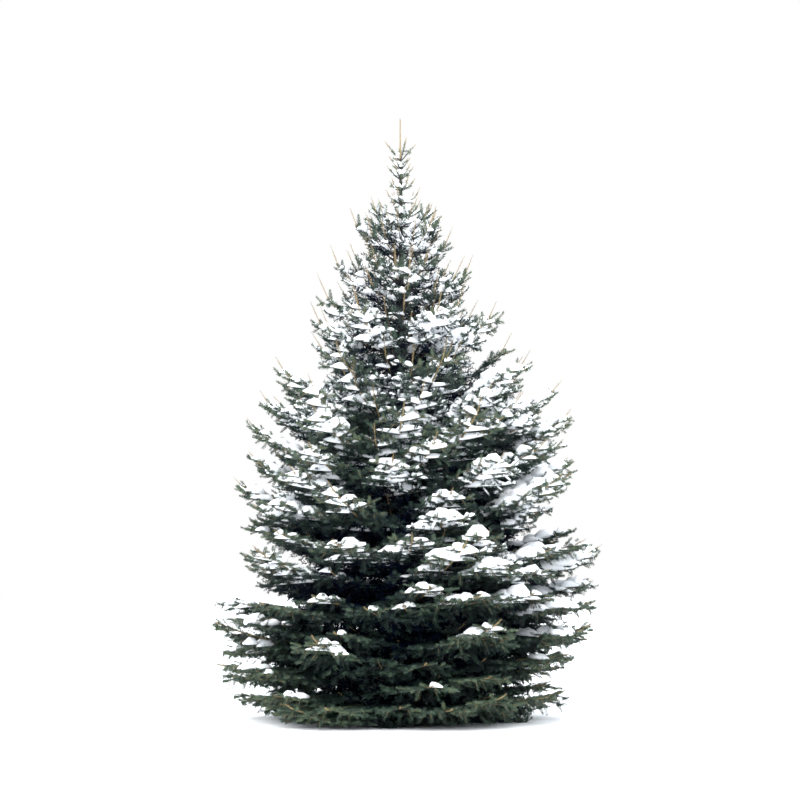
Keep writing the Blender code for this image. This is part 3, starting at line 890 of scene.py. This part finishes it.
def bough_pieces(boughs):
    """Every bough as a tapering tube from inside the trunk, in bark, and its last three tenths in young bark.

    The radius is the root radius times 1 - 0.76 share^0.8, roughened by the bark's own lumpy field.
    """
    which = np.arange(len(boughs.length))
    young = YOUNG_BOUGH_SHARE

    def rings_between(low, high, steps, sides, relief):
        def radius_at(share):
            share = low + (high - low) * share
            return boughs.radius[:, None] * (1 - 0.76 * share**0.8)

        rings = tube_rings(boughs, which, low * boughs.length, high * boughs.length, steps, sides, radius_at)
        core = rings.mean(axis=2, keepdims=True)
        return core + (rings - core) * (1 + relief * np.abs(lumps(rings, 0.030, 2.0)))[..., None]

    rings = rings_between(0.0, young + 0.01, 14, 7, 0.22)
    foot, tip = boughs.at(which, 0 * boughs.length), boughs.at(which, (young + 0.01) * boughs.length)
    piece = make_piece("bough_bark", *closed_tubes(rings, foot, tip), BARK, smooth=True)
    names = [f"tier{t + 1}_bough_{i + 1}" for t in range(BARE_TIERS) for i in range(TIERS[t][1])]
    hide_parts(*names)
    rings = rings_between(young, 0.995, 5, 5, 0.10)
    foot, tip = boughs.at(which, young * boughs.length), boughs.at(which, boughs.length)
    piece = make_piece("bough_ends", *closed_tubes(rings, foot, tip), YOUNG_BARK, smooth=True)


def twig_piece(name, twigs, material, steps=1):
    """Three-sided twigs, tapering to a point."""
    which = np.arange(len(twigs.length))
    last = 1 - 0.6 / steps

    def radius_at(share):
        return twigs.radius[:, None] * (1 - 0.5 * share)

    rings = tube_rings(twigs, which, 0 * twigs.length, last * twigs.length, steps, 3, radius_at)
    piece = make_piece(name, *closed_tubes(rings, None, twigs.part(1.0)), material)


def needle_pieces(boughs, twigs, tint, bare, blanket_of, blankets):
    """The needles, joined by tint and by tier, each piece under the limit on triangles.

    Those that the snow on their spray covers are left out.
    """
    triangles, which = needle_triangles(twigs, NEEDLES_PER_METRE, NEEDLE_LENGTH, NEEDLE_WIDTH, bare)
    blanket = blanket_of[twigs.spray[which]]
    under = np.flatnonzero(blanket >= 0)
    hidden = np.zeros(len(which), dtype=bool)
    hidden[under] = blankets.cover(blanket[under], triangles[under].mean(axis=1))
    triangles, which = triangles[~hidden], which[~hidden]
    tier = boughs.tier[twigs.bough[which]]
    for group, tiers in TIER_GROUPS.items():
        for number, shade in enumerate(NEEDLE_TINTS):
            chosen = triangles[np.isin(tier, tiers) & (tint[which] == number)]
            parts = -(-len(chosen) // PIECE_LIMIT)
            for part, block in enumerate(np.array_split(chosen, max(1, parts))):
                suffix = f"_{part + 1}" if parts > 1 else ""
                faces = np.arange(3 * len(block)).reshape(-1, 3)
                name = f"needles_{shade}_{group}{suffix}"
                piece = make_piece(name, block.reshape(-1, 3), [], faces, NEEDLE_TINTS[shade])
                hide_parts(*foliage_nodes(tiers))


def stem_shoot(low, high, radius, bough, spray):
    """The stem itself between two heights, as a twig that goes with this bough and spray."""
    root = trunk_axis(np.array([low]))
    up, level = np.array([[0.0, 0.0, 1.0]]), np.array([[1.0, 0.0, 0.0]])
    length, radius = np.array([high - low]), np.array([radius])
    return Twigs(root, up, level, 0 * up, length, radius, np.array([bough]), np.array([spray]))


def bud_piece(shoots):
    """The sparse short needles and bud scales on the leading shoots."""
    triangles, _ = needle_triangles(shoots, BUDS_PER_METRE, BUD_LENGTH, BUD_WIDTH, 0 * shoots.length)
    faces = np.arange(3 * len(triangles)).reshape(-1, 3)
    piece = make_piece("bud_scales", triangles.reshape(-1, 3), [], faces, YOUNG_BARK)


def snow_piece(name, shape):
    """A smooth piece of snow from points, quads and triangles."""
    piece = make_piece(name, *shape, SNOW, smooth=True)


class Snowfall:
    """What settles on the tree, from how much sky each spray sees, how level it lies and where it stands.

    The first level_count sprays are the level ones, which carry blankets. The tips come last. Where a
    spray has no blanket, or one that doesn't bury them, its single shoots carry ridges.
    """

    def __init__(self, sprays, level_count, tips, shoots):
        self.shelter = Shelter(joined([sprays, shoots]))
        places = sprays.part(0.5)
        snow = self.shelter.open_sky(places) ** 0.6 * snowiness(places)
        snow = snow * (1 - 0.6 * np.abs(sprays.heading[:, 2])) * rng.uniform(0.85, 1.15, len(places))
        self.snow = snow * (0.70 + 0.55 * scatter(sprays.bough, 2, 2)) * ramp(depth(places), 0.22, 0.55)
        self.blanket_of = np.full(len(snow), -1)
        self.on_sprays = self.over_sprays(sprays.kept(np.arange(len(snow)) < level_count))
        self.on_shoots = self.along_shoots(shoots)
        self.on_boughs = self.along_boughs(tips)

    def over_sprays(self, laterals):
        """Blankets on the level sprays with enough snow, less readily near the ground."""
        height = laterals.root[:, 2]
        amount = self.snow[: len(height)] * rng.uniform(0.75, 1.25, len(height))
        shortest = 0.085 - 0.040 * ramp(height, 2.2, 3.2)
        least = SPRAY_SNOW_LEAST + 0.04 * (1 - ramp(height, 0.4, 0.9))
        chosen = (amount > least) & (laterals.length > shortest)
        self.blanket_of[: len(height)][chosen] = np.arange(chosen.sum())
        amount = np.clip(amount[chosen], 0, 1.5)
        start = rng.uniform(-0.04, 0.12, len(amount))
        stop = rng.uniform(0.62, 0.80, len(amount)) + 0.16 * np.minimum(amount, 1)
        return Blankets(laterals.kept(chosen), amount, start, stop, SPRAY_SNOW_WIDTHS)

    def along_shoots(self, shoots):
        """Ridges on the shoots with enough snow that no blanket buries, less readily at the crown's edge."""
        level = 1 - 0.8 * np.abs(shoots.heading[:, 2])
        sky = self.shelter.open_sky(shoots.part(0.5))
        amount = self.snow[shoots.spray] * (0.45 + 0.55 * sky) * level
        amount = amount * rng.uniform(0.75, 1.2, len(amount))
        blanket = self.blanket_of[shoots.spray]
        above = shoots.part(0.6) + np.array([0, 0, 0.01])
        buried = (blanket >= 0) & self.on_sprays.cover(blanket, above)
        least = 0.38 + 0.54 * ramp(depth(shoots.part(0.5)), 0.60, 0.85)
        least = least * (0.65 + 0.35 * ramp(shoots.root[:, 2], 0.5, 1.1))
        chosen = (amount > least) & (shoots.length > 0.035) & ~buried
        return snow_ridges(shoots.kept(chosen), np.clip(amount[chosen], 0, 1))

    def along_boughs(self, tips):
        """Lumpy snow along the boughs that aren't steep, whose ends stay bare, the longer the higher up."""
        amount = self.snow[len(self.snow) - len(tips.length) :]
        least = BOUGH_SNOW_LEAST + 0.10 * (1 - ramp(tips.root[:, 2], 0.6, 1.3))
        chosen = (amount > least) & (tips.length > 0.05) & (tips.heading[:, 2] < 0.72)
        topped, amount = tips.kept(chosen), np.clip(amount[chosen], 0, 1.2)
        bare_end = np.minimum(0.25, 0.18 / topped.length) * (0.2 + 0.8 * ramp(topped.root[:, 2], 0.8, 2.2))
        return Blankets(topped, amount, np.full(len(amount), 0.10), 1 - bare_end, BOUGH_SNOW_WIDTHS)

    def pieces(self):
        """Ridges on the single shoots, and blankets over whole sprays and along the boughs."""
        snow_piece("snow_on_shoots", self.on_shoots)
        low = self.on_sprays.twigs.root[:, 2] < LOW_SNOW_HEIGHT
        snow_piece("snow_on_sprays_low", self.on_sprays.kept(low).shape(*SPRAY_SNOW))
        snow_piece("snow_on_sprays_high", self.on_sprays.kept(~low).shape(*SPRAY_SNOW))
        snow_piece("snow_on_boughs", self.on_boughs.shape(*BOUGH_SNOW))


def needle_tints(twigs, order):
    """The tint of each twig, dealt out by spray: darker inside the crown, and lighter outwards. The darkening
    inwards is partly the older needles' own colour and partly painted shade.

    The youngest shoots and the foot of the crown are lighter too. Below about 1.9 m the tints darken as
    painted shade, and above it they lighten, most near the top, as painted light.
    """
    height = twigs.root[:, 2]
    # deeper twigs take darker tints: partly older needles, partly painted shade inside the crown
    outer = depth(twigs.part(1.0)) + 0.06 * (order - 1) + 0.16 * (scatter(twigs.spray, 1, 1) - 0.5)
    outer = outer + 0.10 * (scatter(np.arange(len(outer)), 1, 2) - 0.5)
    # painted shade low down and painted light towards the top
    outer = outer + np.minimum(0.09 * (height - 1.9), 0.12) + 0.10 * ramp(height, 3.2, 4.0)
    outer = outer + 0.14 * (1 - ramp(height, 0.2, 0.9)) - 0.04 * ramp(height, 0.5, 0.9)
    return np.digitize(outer, TINT_STEPS)


def build_tree():
    """Grows every kind of twig, then makes the bark, the snow and the needles that the snow leaves free."""
    boughs = grow_boughs()
    flat = dict(stop=0.985, size=1.0, tilt=-0.16, spread=0.15, kept=0.42, first_spray=0)
    level = grow_laterals(boughs, pitch=LATERAL_PITCH, **flat)
    hung = dict(stop=0.72, size=0.50, tilt=-1.10, spread=0.30, kept=1.0, first_spray=len(level.length))
    hanging = grow_laterals(boughs, pitch=HANGING_PITCH, **hung)
    laterals = joined([level, hanging])
    tips = grow_tips(boughs, len(laterals.length))
    flat = dict(reach_share=0.42, least=0.045, opening=50, tilt=0.0, spread=0.16, kept=0.55)
    flat_subs = grow_subs(laterals, SUB_PITCH, **flat)
    long_level = level.kept(level.length > 0.12)
    hung = dict(reach_share=0.25, least=0.045, opening=58, tilt=-1.2, spread=0.35, kept=1.0)
    hung_subs = grow_subs(long_level, SUB_HANGING_PITCH, **hung)
    outer_subs = flat_subs.kept((flat_subs.length > 0.10) & (depth(flat_subs.part(0.6)) > 0.5))
    flat = dict(reach_share=0.40, least=0.040, opening=45, tilt=0.0, spread=0.25, kept=0.7)
    shoots = grow_subs(outer_subs, SHOOT_PITCH, **flat)
    side_stars = grow_stars(laterals, count=2, length=0.065, opening=42)
    stars = joined([side_stars, grow_stars(tips, count=4, length=0.105, opening=45)])
    leaders = grow_leaders(boughs, len(laterals.length))

    trunk_piece()
    bough_pieces(boughs)
    subs = joined([flat_subs, hung_subs])
    late = joined([shoots, stars])
    young_subs = depth(subs.part(1.0)) > YOUNG_DEPTH
    young_late = depth(late.part(1.0)) > YOUNG_DEPTH
    twig_piece("lateral_twigs", laterals, TWIG_BARK, steps=3)
    twig_piece("side_twigs", subs.kept(~young_subs), TWIG_BARK)
    twig_piece("end_twigs", late.kept(~young_late), TWIG_BARK)
    twig_piece("young_twigs", joined([subs.kept(young_subs), late.kept(young_late)]), YOUNG_BARK)
    twig_piece("leading_shoots", leaders, YOUNG_BARK, steps=2)
    bud_piece(joined([leaders, stem_shoot(LEADER_FOOT, TREE_HEIGHT - 0.012, 0.004, 0, len(laterals.length))]))

    last_bough = len(boughs.length) - 1
    top_stem = stem_shoot(TOP_STEM_FOOT, LEADER_FOOT, 0.012, last_bough, len(laterals.length) + last_bough)
    late = joined([late, top_stem])
    fine = joined([subs, late])
    needled = joined([laterals, tips, fine])
    counts = [len(twigs.length) for twigs in (laterals, tips, subs, late)]
    order = np.repeat((1, 1, 2, 3), counts)
    bare = np.repeat((BARE_UNDERSIDE, BARE_UNDER_BOUGH, BARE_UNDERSIDE, BARE_UNDERSIDE), counts)
    snowfall = Snowfall(joined([laterals, tips]), len(level.length), tips, fine)
    snowfall.pieces()
    tint = needle_tints(needled, order)
    needle_pieces(boughs, needled, tint, bare, snowfall.blanket_of, snowfall.on_sprays)


# ---------------------------------------------------------------- the studio
CAMERA_DISTANCE = 16.0
CAMERA_HEIGHT = 1.15
AIM_HEIGHT = 2.37
FRAME_HEIGHT = 5.95
SENSOR = 36.0
SKY_STRENGTH = 2.05
LAMP_STRENGTH = 3.9
LAMP_DIRECTION = (0.24, 0.60, -1.0)
LAMP_SPREAD = math.radians(70)


def floor_stage():
    """A wide pale floor, just under the tree's foot."""
    bpy.ops.mesh.primitive_circle_add(vertices=96, radius=60, fill_type="NGON", location=(0, 0, -0.001))
    floor = bpy.context.object
    floor.name = "floor"
    material = bpy.data.materials.new("floor")
    material.use_nodes = True
    shader = material.node_tree.nodes["Principled BSDF"]
    shader.inputs["Base Color"].default_value = (0.93, 0.94, 0.95, 1)
    shader.inputs["Roughness"].default_value = 0.9
    shader.inputs["Specular IOR Level"].default_value = 0.0
    floor.data.materials.append(material)


def studio():
    """A white backdrop that lights the tree softly from all round, and a broad light from above."""
    world = bpy.data.worlds.new("studio")
    bpy.context.scene.world = world
    world.use_nodes = True
    nodes, link = world.node_tree.nodes, world.node_tree.links.new
    light = nodes["Background"]
    light.inputs["Color"].default_value = (0.90, 0.95, 1.0, 1)
    light.inputs["Strength"].default_value = SKY_STRENGTH
    backdrop = nodes.new("ShaderNodeBackground")
    backdrop.inputs["Color"].default_value = (1.0, 1.0, 1.0, 1)
    path = nodes.new("ShaderNodeLightPath")
    mix = nodes.new("ShaderNodeMixShader")
    link(path.outputs["Is Camera Ray"], mix.inputs["Fac"])
    link(light.outputs["Background"], mix.inputs[1])
    link(backdrop.outputs["Background"], mix.inputs[2])
    link(mix.outputs["Shader"], nodes["World Output"].inputs["Surface"])
    lamp = bpy.data.lights.new("overhead", "SUN")
    lamp.angle = LAMP_SPREAD
    lamp.energy = LAMP_STRENGTH
    lamp.color = (1.0, 0.985, 0.96)
    overhead = bpy.data.objects.new("overhead", lamp)
    overhead.rotation_euler = Vector(LAMP_DIRECTION).to_track_quat("-Z", "Y").to_euler()
    bpy.context.scene.collection.objects.link(overhead)


def camera():
    """A long lens at chest height, straight in front of the tree."""
    lens = bpy.data.cameras.new("camera")
    lens.sensor_width = SENSOR
    lens.lens = SENSOR * CAMERA_DISTANCE / FRAME_HEIGHT
    view = bpy.data.objects.new("camera", lens)
    view.location = (0.0, -CAMERA_DISTANCE, CAMERA_HEIGHT)
    aim = Vector((0, 0, AIM_HEIGHT)) - view.location
    view.rotation_euler = aim.to_track_quat("-Z", "Y").to_euler()
    bpy.context.scene.collection.objects.link(view)
    bpy.context.scene.camera = view


bpy.context.scene.view_settings.view_transform = "Standard"
camera()
studio()
floor_stage()
build_tree()
